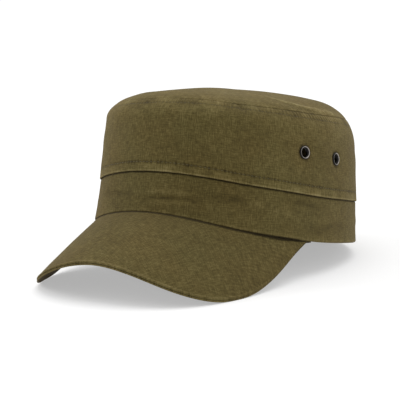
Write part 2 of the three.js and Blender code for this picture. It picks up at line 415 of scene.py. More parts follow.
# Washed cotton: threads both ways, fine diagonal ribs, soft blotches, pale where it is rubbed and where
# highlights are painted, dark where shade is painted
washedCotton = {
    "deep": (0.024, 0.018, 0.005),
    "cloth": (0.090, 0.071, 0.0220),
    "faded": (0.152, 0.124, 0.046),
    # the palest colour, reached where wear and painted highlights are strongest
    "palest": (0.230, 0.194, 0.088),
    "brown": (1.0, 0.88, 0.80),
    # how strongly each changes the colour
    "blotch": 0.22, "mottle": 0.26, "warp": 0.52, "weft": 0.44, "fibre": 0.42,
    "wearAndHighlight": 0.60, "shaded": 0.70,
    "ribPitch": 0.62,
    "relief": 0.22,
    "specular": 0.12,
    "sheen": 0.11,
    "sheenTint": (1.0, 0.76, 0.45),
}
# where the four colours lie between dark and pale
cottonStops = {"deep": 0.0, "cloth": 0.42, "faded": 0.7, "palest": 1.0}


# The twill's diagonal ribs
def ribNode(material, grain):
    ribs = addNode(material, "ShaderNodeTexWave", wave_type="BANDS", bands_direction="DIAGONAL")
    ribs.inputs["Scale"].default_value = 2 * math.pi / (10 * washedCotton["ribPitch"] * math.sqrt(2))
    ribs.inputs["Distortion"].default_value = 0.6
    ribs.inputs["Detail"].default_value = 1
    material.node_tree.links.new(stretched(material, grain, 1.2, 0.75), ribs.inputs["Vector"])
    return ribs.outputs["Fac"]


def cottonMaterial(name, tone):
    look = washedCotton
    material, shader, links = newFinish(name)
    grain = addNode(material, "ShaderNodeUVMap", uv_map="grain").outputs["UV"]
    place = addNode(material, "ShaderNodeTexCoord").outputs["Object"]
    blotch = noiseNode(material, place, 24, 2)
    mottle = noiseNode(material, place, 150, 3)
    patches = noiseNode(material, place, 33, 3)
    warp = noiseNode(material, stretched(material, grain, 1.25, 0.24), 1, 2, noise_dimensions="2D")
    weft = noiseNode(material, stretched(material, grain, 0.20, 1.25), 1, 2, noise_dimensions="2D")
    fibre = noiseNode(material, stretched(material, grain, 1.9, 1.9), 1, 2, noise_dimensions="2D")
    # marks read from the mesh: real wear together with painted highlights, and painted shade
    wearAndHighlight = markNode(material, "wearAndHighlight")
    shaded = markNode(material, "shaded")
    paleWearAndHighlight = addNode(material, "ShaderNodeMath", operation="MULTIPLY")
    links.new(wearAndHighlight, paleWearAndHighlight.inputs[0])
    links.new(weighted(material, [(warp, 0.8), (mottle, 1.2)], -0.1), paleWearAndHighlight.inputs[1])
    noises = {"blotch": blotch, "mottle": mottle, "warp": warp, "weft": weft, "fibre": fibre}
    parts = [(noise, look[part]) for part, noise in noises.items()]
    parts += [(paleWearAndHighlight.outputs[0], look["wearAndHighlight"]), (shaded, -look["shaded"])]
    balance = -0.5 * sum(look[part] for part in noises)
    value = weighted(material, parts, cottonStops["cloth"] + balance)
    stops = [
        (position, tuple(part * tone for part in look[colour]))
        for colour, position in cottonStops.items()
    ]
    colour = colourRamp(material, value, stops)
    tint = addNode(material, "ShaderNodeMix", data_type="RGBA", blend_type="MULTIPLY")
    tint.inputs["B"].default_value = (*look["brown"], 1)
    links.new(colour, tint.inputs["A"])
    links.new(weighted(material, [(patches, 1.4)], -0.45), tint.inputs["Factor"])
    links.new(tint.outputs["Result"], shader.inputs["Base Color"])
    ribs = ribNode(material, grain)
    height = weighted(material, [(ribs, 0.25), (warp, 0.6), (weft, 0.5), (fibre, 0.4)], 0)
    addRelief(material, shader, height, 0.9, look["relief"])
    links.new(weighted(material, [(mottle, 0.12), (wearAndHighlight, -0.08)], 0.86), shader.inputs["Roughness"])
    shader.inputs["Specular IOR Level"].default_value = look["specular"]
    shader.inputs["Sheen Weight"].default_value = look["sheen"]
    shader.inputs["Sheen Roughness"].default_value = 0.5
    shader.inputs["Sheen Tint"].default_value = (*look["sheenTint"], 1)
    return material


crownCloth = cottonMaterial("crownCloth", 1.0)
bandCloth = cottonMaterial("bandCloth", 0.95)
peakCloth = cottonMaterial("peakCloth", 0.93)


# Eyelets come first, as the side panel is open and dips where they sit
eyeletPlan = {
    "rise": {"front": 28.1, "rear": 27.0},  # over the side panel's lower edge
    "spacing": 36.4,
    "forward": 20,          # the pair's middle, ahead of the cap's widest place
    "hole": 6,
    "flange": 9.2,
    "back": 9,              # across the rolled ring inside
    "wall": 0.5,
    "crown": 0.9,           # how high the ring rounds up
    "dip": 0.3,             # it draws the cloth in round it
    "pucker": 0.12,         # which stands up a little further out
}


# The middle of an eyelet on the cloth's outer face, and the way out of it
def eyeletFrame(angle, rise):
    angles = np.array([angle])
    edgeHeight = seamHeight({**lapSeam, "sideRise": 0}, angles)
    length = heightToLength(angles, edgeHeight + rise)
    middle, out = crownFrame(angles, length[None])
    lift = crownSoftness(middle)[..., None] * 0.4
    return (middle + out * lift)[0, 0], out[0, 0]


eyeletSeats = {}
for hand, side in (("left", 1), ("right", -1)):
    for spot, ahead in (("front", 0.5), ("rear", -0.5)):
        along = eyeletPlan["forward"] + ahead * eyeletPlan["spacing"]
        angle = side * (math.pi / 2 - along / capForm["halfLength"])
        eyeletSeats[hand, spot] = eyeletFrame(angle, eyeletPlan["rise"][spot])


def nearEyelet(points):
    return np.min([np.linalg.norm(points - middle, axis=-1) for middle, _ in eyeletSeats.values()], axis=0)


# Side panel: the tall wall of the crown, folded under at its lower edge
sidePanelLook = {
    "steps": 1040,
    "foldProud": -0.1,      # the row of stitches draws the folded edge in
    "rowRise": 6.2,         # the row of stitches over the lower edge
    "rowGroove": 0.11,
    "puckerPitch": 2.7,
    "puckerDepth": 0.10,
    "puckerReach": 1.9,
    "seamRowFall": 5.2,     # the row of stitches under the top seam
    "tickPitch": 3.3,
    "tickDepth": 0.14,
    "seamGroove": 0.28,
    # paler along the folded edge: wear and a painted highlight
    "foldWearAndHighlight": 0.62,
    "lapWear": 0.15,
    "seamWear": 0.12,
    "rowShade": 0.09,
    "seamRowShade": 0.07,
    "pullShade": 0.45,      # short dark marks where the stitches pull
    "seamShade": 0.45,
    "eyeletShade": 0.45,
}
# how much of foldProud shows at each length up from the edge
foldRises = [0, 1.0, 2.0, 5.0, 7.0, 8.5, 10]
foldShares = [0.6, 0.9, 1.0, 0.9, 0.8, 0.3, 0]
# along, length up from the lower edge, both for each end, then width and lift
sideCreases = [
    (20, 36, 74, 48, 5.0, 0.40),
    (-30, 42, 22, 32, 6.0, -0.40),
    (84, 20, 126, 28, 5.0, -0.35),
    (48, 20, 90, 15, 3.5, 0.28),
    (60, 55.5, 64, 48.5, 1.3, -0.55),
    (118, 40, 146, 24, 4.5, 0.35),
    (-150, 42, -110, 25, 6.0, -0.40),
    (-92, 22, -60, 34, 5.0, 0.35),
    (-250, 20, -205, 36, 6.0, 0.45),
    (215, 44, 262, 30, 6.0, -0.45),
    (165, 18, 205, 30, 6.0, 0.40),
]


# How plainly the top seam shows, from place to place
def seamWeight(along):
    return 0.45 + 0.25 * ripples(along, 38, 24) + 0.5 * bell(along, 125, 42) - 0.25 * bell(along, -20, 50)


# The short gathers across the top seam, on both its sides
def seamTicks(along, fromSeam, seed):
    look = sidePanelLook
    strength = seamWeight(along) + 0.3 * ripples(along, 27, 21)
    ticks = look["tickDepth"] * strength * puckers(along, look["tickPitch"], seed)
    soft = 0.16 * ripples(along, 9, 23) * bell(fromSeam, 2, 6)
    return ticks * bell(fromSeam, 2.6, 2.9) + soft


def seamGroove(along, fromSeam):
    depth = sidePanelLook["seamGroove"] * seamWeight(along)
    return -depth * np.exp(-np.maximum(fromSeam, 0) / 0.6)


def sideRelief(along, rise, fall):
    look = sidePanelLook
    strength = 0.6 + 0.4 * ripples(along, 30, 5)
    pucker = look["puckerDepth"] * strength * puckers(along, look["puckerPitch"], 6)
    relief = pucker * bell(rise, look["rowRise"] - 0.2, look["puckerReach"])
    relief = relief - look["rowGroove"] * bell(rise, look["rowRise"], 0.7)
    relief = relief + 0.10 * ripples(along, 6.5, 7) * bell(rise, 2.2, 3.0)
    return relief + seamTicks(along, fall, 22) - 0.07 * bell(fall, look["seamRowFall"], 0.7)


# A point of the side panel with all its relief, so deep in the cloth, and the relief itself
def sidePoint(angle, length, depth):
    look = sidePanelLook
    seamLength, _ = crownLengths(angle)
    along = arcOf(angle)
    fall = seamLength - length
    plain, out = crownFrame(angle, length)
    relief = sideRelief(along, length, fall)
    fold = look["foldProud"] * np.interp(length, foldRises, foldShares)
    lift = relief + fold + creases(along, length, sideCreases) + seamGroove(along, fall)
    near = nearEyelet(plain)
    dip = eyeletPlan["dip"] * (1 - softStep(near, 4.6, 7)) - eyeletPlan["pucker"] * bell(near, 8.5, 1.5)
    soft = crownSoftness(plain) * (0.4 + 0.6 * softStep(near, 5, 15))
    lift = lift * softStep(near, 4.5, 8) + soft - dip - depth
    return plain + out * lift[..., None], relief, near


# Raised relief is painted paler as a highlight and sunk relief darker as painted shade, on top of the given
# marks
def clothMarks(relief, wearAndHighlight, shaded):
    return {
        "wearAndHighlight": np.clip(wearAndHighlight + np.clip(relief, 0, 1), 0, 1),
        "shaded": np.clip(shaded + np.clip(-relief, 0, 1), 0, 1),
    }


# How far each place is rubbed pale and given painted highlights, and how far it is given painted shade
def sideMarks(along, rise, fall, near):
    look = sidePanelLook
    # the folded lower edge is rubbed pale and also carries a painted highlight; the strip above it is
    # rubbed pale
    wearAndHighlight = look["foldWearAndHighlight"] * bell(rise, 0.65, 0.5) + look["lapWear"] * bell(rise, 3, 2.2)
    wearAndHighlight = wearAndHighlight + look["seamWear"] * bell(fall, 1.6, 1.2)
    wearAndHighlight = wearAndHighlight + look["seamWear"] * softStep(-fall, -26, -8)
    shaded = look["rowShade"] * bell(rise, look["rowRise"], 0.9)
    shaded = shaded + look["seamRowShade"] * bell(fall, look["seamRowFall"], 0.9)
    pulled = np.clip(ripples(along, 1.7, 41) - 0.3, 0, 1) * (0.7 + 0.5 * ripples(along, 16, 42))
    shaded = shaded + look["pullShade"] * np.clip(pulled, 0, 1) * bell(rise, look["rowRise"] - 0.1, 1.1)
    shaded = shaded + look["seamShade"] * seamWeight(along) * bell(fall, 0, 0.5)
    return wearAndHighlight, shaded + look["eyeletShade"] * bell(near, 5.0, 0.7)


def makeSidePanel():
    thick = crownForm["clothThick"]
    radius = thick / 2
    steps = sidePanelLook["steps"]
    angle = np.linspace(-math.pi, math.pi, steps, endpoint=False)
    along = arcOf(angle)
    seamLength, _ = crownLengths(angle)
    edge = 0.15 * ripples(along, 24, 3)     # the fold isn't quite straight
    turn = np.linspace(math.pi, 0, 9)[1:, None]
    foldLength = edge + radius * (1 - np.sin(turn))
    foldDepth = radius * (1 - np.cos(turn)) + 0 * edge
    # rows lie close together at both rows of stitches, and inside where the eyelets are
    rises = [np.linspace(1.3, 4.4, 6), np.linspace(4.9, 7.5, 8), np.linspace(8.2, 11.5, 5)]
    rises = np.concatenate(rises)[:, None]
    falls = [np.linspace(13.5, 6.8, 7), np.linspace(6.0, 4.4, 5), np.linspace(3.7, 1.2, 5)]
    falls = np.concatenate([*falls, [0.8, 0.45, 0.2, 0.06]])[:, None]
    middle = np.linspace(0, 1, 23)[1:-1, None]
    wall = rises[-1] + (seamLength - rises[-1] - falls[0]) * middle
    outerLength = np.concatenate([rises + 0 * edge, wall, seamLength - falls])
    innerShares = np.concatenate([[1, 0.94, 0.86, 0.74], np.linspace(0.63, 0.36, 16), [0.26, 0.16, 0.06]])
    innerLength = (seamLength - 0.06) * innerShares[:, None]
    length = np.concatenate([foldLength, outerLength, innerLength])
    depth = np.concatenate([foldDepth, 0 * outerLength, thick + 0 * innerLength])
    points, relief, near = sidePoint(angle, length, depth)
    faces, cornerRow, cornerStep = ringFaces(len(points), steps)
    grain = wrappedGrain(length, cornerRow, cornerStep)
    inside = depth > radius * 1.2
    wearAndHighlight, shaded = sideMarks(along, length - edge, seamLength - length, near)
    marks = clothMarks(np.where(inside, 0, relief * 2), wearAndHighlight * ~inside, np.where(inside, 1, shaded))
    piece = makePiece("sidePanel", points.reshape(-1, 3), faces.tolist(), grain, marks, crownCloth)
    openEyeletHoles(piece)
    seat(piece, "crown_cloth", "side_panel")


# Takes the faces out of each hole and joins its two rims through the cloth
def openEyeletHoles(piece):
    radius = (eyeletPlan["hole"] / 2 + eyeletPlan["wall"] + capForm["air"]) * mm
    reach = 6 * mm          # through both faces of the cloth
    mesh = bmesh.new()
    mesh.from_mesh(piece.data)
    for middle, out in eyeletSeats.values():
        tip = Vector(toRest(middle + out))
        middle = Vector(toRest(middle))
        out = (tip - middle).normalized()
        inside = set()
        for vertex in mesh.verts:
            way = vertex.co - middle
            along = way.dot(out)
            if abs(along) < reach and (way - out * along).length < radius * 1.04:
                inside.add(vertex)
        doomed = [face for face in mesh.faces if all(vertex in inside for vertex in face.verts)]
        bmesh.ops.delete(mesh, geom=doomed, context="FACES")
        rims = [edge for edge in mesh.edges if edge.is_boundary]
        for vertex in {vertex for edge in rims for vertex in edge.verts}:
            way = vertex.co - middle
            along = way.dot(out)
            vertex.co = middle + out * along + (way - out * along).normalized() * radius
        bmesh.ops.bridge_loops(mesh, edges=rims)
    bmesh.ops.recalc_face_normals(mesh, faces=mesh.faces)
    mesh.to_mesh(piece.data)
    mesh.free()
    piece.data.polygons.foreach_set("use_smooth", np.ones(len(piece.data.polygons), bool))


makeSidePanel()

# Top panel: the domed oval, a little raised where the seam's turned cloth lies under its border
topPanelLook = {
    "steps": 1200,
    "borderIn": 8.2,
    "borderRise": 0.10,
    # the whole top is paler: partly wear, partly painted light from above
    "wearAndTopLight": 0.16,
    "borderWear": 0.04,
    "foldWearAndHighlight": 0.2,
    # a painted highlight along the ridge
    "ridgeHighlight": 1.3,
    "hollowShade": 0.4,
}
# x and y of each end, then width and lift: the edge of the seam's turned cloth, proud on one side
topRidge = [
    (32, -39.9, 45, -38.7, 1.9, 0.30),
    (45, -38.7, 56, -35.2, 1.8, 0.40),
    (56, -35.2, 64.5, -27.2, 1.7, 0.45),
    (64.5, -27.2, 69.4, -17, 1.7, 0.45),
    (69.4, -17, 72.3, -4, 1.7, 0.40),
    (72.3, -4, 72.9, 9, 1.7, 0.30),
    (72.9, 9, 70.5, 26, 1.8, 0.20),
    (59.5, -40, 68.4, -30.4, 1.6, -0.22),
    (68.4, -30.4, 73.4, -18.4, 1.6, -0.22),
]
topCreases = [
    (-40, -70, 10, -82, 2.6, 0.30),
    (-62, -40, -30, -62, 3.2, -0.45),
    (-30, 20, 30, 44, 8.0, 0.60),
    (-50, 60, -6, 40, 6.0, -0.50),
    (20, 70, 54, 48, 5.0, -0.40),
]


def topPoint(angle, fromSeam, depth):
    look = topPanelLook
    seamLength, _ = crownLengths(angle)
    along = arcOf(angle)
    plain, out = crownFrame(angle, seamLength + fromSeam)
    relief = 0.4 * seamTicks(along, fromSeam, 26)
    border = look["borderRise"] * (1 - softStep(fromSeam, look["borderIn"] - 1.2, look["borderIn"] + 1))
    ridge = creases(plain[..., 0], plain[..., 1], topRidge)
    folds = ridge + creases(plain[..., 0], plain[..., 1], topCreases)
    lift = relief + border + folds + crownSoftness(plain) + seamGroove(along, fromSeam) - depth
    lift = lift - look["borderRise"] * np.exp(-fromSeam / 1.5)
    return plain + out * lift[..., None], relief, folds, ridge


def makeTopPanel():
    look = topPanelLook
    steps = look["steps"]
    thick = crownForm["clothThick"]
    angle = np.linspace(-math.pi, math.pi, steps, endpoint=False)
    seamLength, fullLength = crownLengths(angle)
    across = fullLength - seamLength
    starts = [0.06, 0.2, 0.45, 0.8, 1.2, 1.7, 2.3, 3.0]
    ins = np.concatenate([starts, np.linspace(3.6, 5.6, 6), np.linspace(6.3, 10.3, 7)])[:, None]
    spread = np.linspace(0, 1, 40)[1:-1, None]
    border = 11.2           # rows lie close together as far in as this
    outerFrom = np.concatenate([ins + 0 * angle, border + (across - border) * spread])
    innerFrom = across * np.array([0.96, 0.85, 0.72, 0.6, 0.47, 0.35, 0.24, 0.15, 0.07])[:, None]
    innerFrom = np.concatenate([innerFrom, 0.06 + 0 * angle[None]])
    over, relief, folds, ridge = topPoint(angle, outerFrom, 0 * outerFrom)
    under, _, _, _ = topPoint(angle, innerFrom, thick + 0 * innerFrom)
    points = np.concatenate([over, under])
    quads, cornerRow, _ = ringFaces(len(points), steps)
    quads = quads[cornerRow[:, 0] != len(over) - 1]     # none between the two middles
    flat = points.reshape(-1, 3)
    middles = np.array([over[-1].mean(axis=0), under[0].mean(axis=0)])
    lastOver, firstUnder = (len(over) - 1) * steps, len(over) * steps
    fans = []
    for step in range(steps):
        after = (step + 1) % steps
        fans.append([lastOver + step, lastOver + after, len(flat)])
        fans.append([firstUnder + after, firstUnder + step, len(flat) + 1])
    flat = np.concatenate([flat, middles])
    corners = np.concatenate([quads.ravel(), np.array(fans).ravel()])
    wearAndHighlight = sidePanelLook["seamWear"] * bell(outerFrom, 1.6, 1.2)
    # Paler all over as wear and painted light from above, on the ridge as a painted highlight, and on the
    # folds' crests as wear and painted highlight
    wearAndHighlight = wearAndHighlight + look["borderWear"] * bell(outerFrom, look["borderIn"], 2) + look["wearAndTopLight"]
    wearAndHighlight = wearAndHighlight + np.clip(folds, 0, 1) * look["foldWearAndHighlight"] + np.clip(ridge, 0, 1) * look["ridgeHighlight"]
    shaded = sidePanelLook["seamShade"] * seamWeight(arcOf(angle)) * bell(outerFrom, 0, 0.5)
    shaded = shaded + np.clip(-folds, 0, 1) * look["hollowShade"]
    marks = clothMarks(relief * 2, wearAndHighlight, shaded)
    inside = {"wearAndHighlight": 0, "shaded": 0.8}
    marks = {
        mark: np.concatenate([values.ravel(), np.full(innerFrom.size, inside[mark]), [0, inside[mark]]])
        for mark, values in marks.items()
    }
    piece = makePiece("topPanel", flat, quads.tolist() + fans, flat[corners][:, :2], marks, crownCloth)
    seat(piece, "crown_cloth", "top_panel")


makeTopPanel()

# Band: plain, turned under along its lower edge, with a few soft wrinkles
bandLook = {
    "steps": 900,
    "lapCover": 9,          # how far it runs up behind the side panel's edge
    # its hem is rubbed pale and carries a painted highlight
    "hemWearAndHighlight": 0.20,
    "foldWearAndHighlight": 0.5,
    "hollowShade": 0.7,
    "lapShade": 1.0,        # in the line under the side panel
    "peakShade": 1.4,       # in the line over the peak
}
# along, height over the lower edge, both for each end, then width and lift
bandCreases = [
    (-8, 13, 42, 17, 1.5, 0.34),
    (-2, 9.5, 34, 12.5, 1.3, -0.34),
    (2, 6, 30, 9, 1.2, 0.28),
    (30, 16, 66, 20, 2.2, -0.34),
    (-46, 15, -14, 12, 2.0, -0.28),
    (70, 20, 104, 14, 3.0, 0.28),
    (96, 25, 128, 23, 1.6, -0.28),
    (118, 8, 158, 12, 3.0, -0.28),
    (180, 18, 230, 12, 3.0, 0.32),
    (-200, 10, -150, 17, 2.6, -0.32),
    (-120, 18, -80, 13, 2.6, 0.30),
]


def makeBand():
    look = bandLook
    steps = look["steps"]
    puff = bandForm["puff"]
    radius = (bandForm["thick"] + puff) / 2
    angle = np.linspace(-math.pi, math.pi, steps, endpoint=False)
    along = arcOf(angle)
    low = lowerEdge(angle)
    lap = seamHeight(lapSeam, angle)
    top = lap + look["lapCover"]
    turn = np.linspace(math.pi, 0, 15)[1:-1, None]
    hemHeight = low + radius * (1 - np.sin(turn))
    hemDepth = radius * (1 - np.cos(turn)) - puff + 0 * low
    outerShares = np.linspace(0, 1, 44)[:, None]
    outerHeight = low + radius + (top - low - radius) * outerShares
    tuck = softStep(outerHeight - lap, -1.5, 1.2)
    outerDepth = -puff + (puff - 0.05) * tuck
    innerHeight = low + radius + (top - low - radius) * np.linspace(1, 0, 9)[:, None]
    height = np.concatenate([hemHeight, outerHeight, innerHeight])
    depth = np.concatenate([hemDepth, outerDepth, bandForm["thick"] + 0 * innerHeight])
    up = height - low
    underLap = softStep(height - lap, -1.3, -0.1)
    folds = creases(along, up, bandCreases) * (1 - softStep(height - lap, -4, 0)) * softStep(up, 0, 3)
    plain = bandPoint(angle, height, depth)
    lift = folds + crownSoftness(bandPoint(angle, height, 0))
    points = plain + levelOut(angle) * lift[..., None]
    faces, cornerRow, cornerStep = ringFaces(len(points), steps)
    grain = wrappedGrain(height, cornerRow, cornerStep)
    facing = depth < radius - puff
    # paler along the hem and on the wrinkles' crests, as wear and painted highlight
    wearAndHighlight = look["hemWearAndHighlight"] * bell(up, 1.4, 1.0) * facing + np.clip(folds, 0, 1) * look["foldWearAndHighlight"]
    shaded = look["lapShade"] * underLap + np.clip(-folds, 0, 1) * look["hollowShade"]
    overPeak = softStep(np.cos(angle), 0.36, 0.46)
    shaded = shaded + look["peakShade"] * overPeak * (1 - softStep(up, 0.3, 0.8))
    inside = depth > radius
    marks = clothMarks(0 * up, wearAndHighlight, np.where(inside, 0.45, shaded))
    piece = makePiece("bandPanel", points.reshape(-1, 3), faces.tolist(), grain, marks, bandCloth)
    seat(piece, "band_cloth", "band")


makeBand()

# Peak: two covers over a stiff core, which meet in a seam along the edge
peakForm = {
    "archRise": 14,         # of its root, which is drawn up a little into the band
    "archPower": 3,
    "length": 56.2,
    "halfAngle": 73.4,      # where its ends meet the band
    "slope": 29.78,
    "sideDrop": 0.105,
    "bow": 1.62,            # how far it bows up between the band and its edge
    "endDepth": 2.1,        # its ends lie so deep in the band
    "endThin": 0.10,        # what is left of its thickness there
    "coreShare": 0.8,       # how far round its outline it keeps its whole thickness
    "upperThick": 1.25,
    "lowerThick": 1.1,
    "air": 0.2,
    "sidePower": 2.5,
    "frontPower": 3.38,
    "lipRoll": 0.15,        # how far the upper cover rolls over the seam
    "grainTurn": 24,
    # a painted highlight along the upper rolled edge, with some wear
    "edgeWearAndHighlight": 0.34,
    # the edge's lip is painted paler, as painted light on a face turned down
    "lipPaintedLight": 0.18,
    "bandShade": 1.4,
    "underShade": 1.0,
    "steps": 460,
    "rows": 52,
}
slopeCos = math.cos(math.radians(peakForm["slope"]))


def peakHeight(x, y):
    form = peakForm
    across = np.clip(x / capForm["halfWidth"], -1, 1)
    hemAngle = np.arcsin(across)
    forward = np.maximum(0, -capForm["halfLength"] * np.cos(hemAngle) - y)
    fall = math.tan(math.radians(form["slope"])) + form["sideDrop"] * across**2
    share = forward / form["length"]
    bow = form["bow"] * 4 * share * (1 - share) * (1 - across**2)
    tuck = 0.35 * bell(forward, 0, 2.5)     # it rises into the seam under the band
    root = form["archRise"] * np.cos(hemAngle) ** form["archPower"]
    return root - capForm["air"] - fall * forward + bow + tuck


def peakEdge(share):
    form = peakForm
    endAngle = math.radians(form["halfAngle"])
    end = bandPoint(endAngle, lowerEdge(endAngle), form["endDepth"])
    turn = share * math.pi / 2
    side = np.abs(np.sin(turn)) ** (2 / form["sidePower"])
    front = np.maximum(np.cos(turn), 0) ** (2 / form["frontPower"])
    reach = capForm["halfLength"] + form["length"] + end[1]
    return np.stack([np.sign(share) * end[0] * side, end[1] - reach * front], axis=-1)


def peakFullness(share):
    past = np.maximum(0, (np.abs(share) - peakForm["coreShare"]) / (1 - peakForm["coreShare"]))
    return 1 - (1 - peakForm["endThin"]) * past**1.5


# Faces round the cover's section along its whole outline, and those that close both ends
def peakFaces(count, steps):
    width = steps + 1
    ringRow, step = gridOf(count, steps)
    after = (ringRow + 1) % count
    starts = np.stack([ringRow, ringRow, after, after], axis=1) * width
    quads = starts + np.stack([step, step + 1, step + 1, step], axis=1)
    ends = []
    for line in range(count // 2 - 1):
        corners = np.array([line, line + 1, count - 2 - line, count - 1 - line]) * width
        ends.append(corners)
        ends.append(corners[::-1] + steps)
    return np.concatenate([quads, np.array(ends)])


# The peak's cloth is cut askew
def peakGrain(corners):
    turned = math.radians(peakForm["grainTurn"])
    across, ahead = corners[:, 0], corners[:, 1] / slopeCos
    return np.stack([
        across * math.cos(turned) - ahead * math.sin(turned),
        across * math.sin(turned) + ahead * math.cos(turned),
    ], axis=-1)


def peakCover(name, node, overThick, thick, air, roll):
    form = peakForm
    steps = form["steps"]
    share = np.linspace(-1, 1, steps + 1)
    angle = math.radians(form["halfAngle"]) * share
    low = lowerEdge(angle)
    hem = bandPoint(angle, low, 0.6)[:, :2]
    tuck = bandPoint(angle, low, 1.1)[:, :2]
    way = peakEdge(share) - hem
    length = np.maximum(np.linalg.norm(way, axis=1), 1e-6)
    ahead = way / length[:, None]
    drop = peakFullness(share) / slopeCos
    height = thick * drop
    radius = np.minimum(height / 2, 0.45 * length)
    edge = hem + way + ahead * (roll * peakFullness(share))[:, None]
    shoulder = edge - ahead * radius[:, None]
    sunk = overThick * drop + air

    def row(out):
        at = hem + (shoulder - hem) * out
        line = np.column_stack([at, peakHeight(at[:, 0], at[:, 1])])
        soft = 0.32 * lumps(line, 30, 3) + 0.10 * lumps(line, 11, 4)
        line[:, 2] += soft * softStep(out * length, 0, 10)
        return line

    tops = [np.column_stack([tuck, low + 0.9])]
    tops += [row(out) for out in np.linspace(0, 1, form["rows"]) ** 0.9]
    over = [line - [[0, 0, 1]] * sunk[:, None] for line in tops]
    under = [line - [[0, 0, 1]] * height[:, None] for line in over]
    lip = []
    ripple = 0.08 * lumps(np.column_stack([edge, 0 * share]), 6, 5)
    for turn in np.linspace(-math.pi / 2, math.pi / 2, 13)[1:-1]:
        line = (over[-1] + under[-1]) / 2
        line[:, :2] += ahead * ((radius + ripple) * math.cos(turn))[:, None]
        line[:, 2] += height / 2 * math.sin(turn)
        lip.append(line)
    sections = np.array(under + lip + over[::-1])
    points = sections.reshape(-1, 3)
    faces = peakFaces(len(sections), steps)
    fromEdge = np.linalg.norm(sections[..., :2] - edge[None], axis=-1)
    fromBand = np.linalg.norm(sections[..., :2] - hem[None], axis=-1)
    index = np.arange(len(sections))[:, None]
    onTop = index >= len(under) + len(lip) - 3
    onLip = (index >= len(under)) & ~onTop
    upper = overThick == 0
    # A narrow highlight is painted along the top of the edge and the lip is painted paler; shade is painted
    # in the line under the band and on the lower cover's underside
    wearAndHighlight = form["edgeWearAndHighlight"] * bell(fromEdge, 0.8, 0.5) * onTop * upper + form["lipPaintedLight"] * onLip
    shaded = form["bandShade"] * (1 - softStep(fromBand, 1.9, 2.7)) * onTop
    if not upper:
        shaded = shaded + form["underShade"] * (index < len(under) - 1)
    marks = clothMarks(0 * fromEdge, wearAndHighlight, shaded)
    grain = peakGrain(points[faces.ravel()])
    piece = makePiece(name, points, faces.tolist(), grain, marks, peakCloth)
    seat(piece, "peak_cloth", node)


peakCover("peakUpper", "peak_upper", 0, peakForm["upperThick"], 0, peakForm["lipRoll"])
peakCover("peakLower", "peak_lower", peakForm["upperThick"], peakForm["lowerThick"], peakForm["air"], 0)

# Stitches: one short arched thread each, all those of a row in one mesh
stitchLook = {
    "pitch": 2.9,
    "length": 2.1,
    "thick": 0.30,
    "arch": 0.12,
    "sink": 0.10,           # its ends lie this deep in the cloth
    "sides": 6,
    "rings": 7,
}
threadTones = {
    "dark": (0.058, 0.045, 0.015),
    "light": (0.116, 0.094, 0.036),
}


def threadMaterial():
    material, shader, links = newFinish("topstitchThread")
    grain = addNode(material, "ShaderNodeUVMap", uv_map="grain").outputs["UV"]
    twist = addNode(material, "ShaderNodeTexWave", wave_type="BANDS", bands_direction="DIAGONAL")
    twist.inputs["Scale"].default_value = 0.9
    links.new(grain, twist.inputs["Vector"])
    place = addNode(material, "ShaderNodeTexCoord").outputs["Object"]
    patches = noiseNode(material, place, 260, 2)
    value = weighted(material, [(patches, 1.4), (twist.outputs["Fac"], 0.3)], -0.35)
    colour = colourRamp(material, value, [(0.1, threadTones["dark"]), (0.8, threadTones["light"])])
    links.new(colour, shader.inputs["Base Color"])
    addRelief(material, shader, twist.outputs["Fac"], 0.7, 0.05)
    links.new(weighted(material, [(patches, 0.2)], 0.6), shader.inputs["Roughness"])
    shader.inputs["Sheen Weight"].default_value = 0.08
    shader.inputs["Sheen Roughness"].default_value = 0.4
    return material


topstitchThread = threadMaterial()


# Each thread is a tube with a cap at both ends
def threadFaces(count):
    rings, sides = stitchLook["rings"], stitchLook["sides"]
    pattern = []
    for ring in range(rings - 1):
        for corner in range(sides):
            here, after = ring * sides + corner, ring * sides + (corner + 1) % sides
            pattern.append([here, here + sides, after + sides, after])
    first = np.arange(count)[:, None, None] * rings * sides
    quads = (first + np.array(pattern)[None]).reshape(-1, 4)
    closing = np.array([np.arange(sides), (rings * sides - 1) - np.arange(sides)])
    caps = (first + closing[None]).reshape(-1, sides)
    return quads.tolist() + caps.tolist(), np.concatenate([quads.ravel(), caps.ravel()])


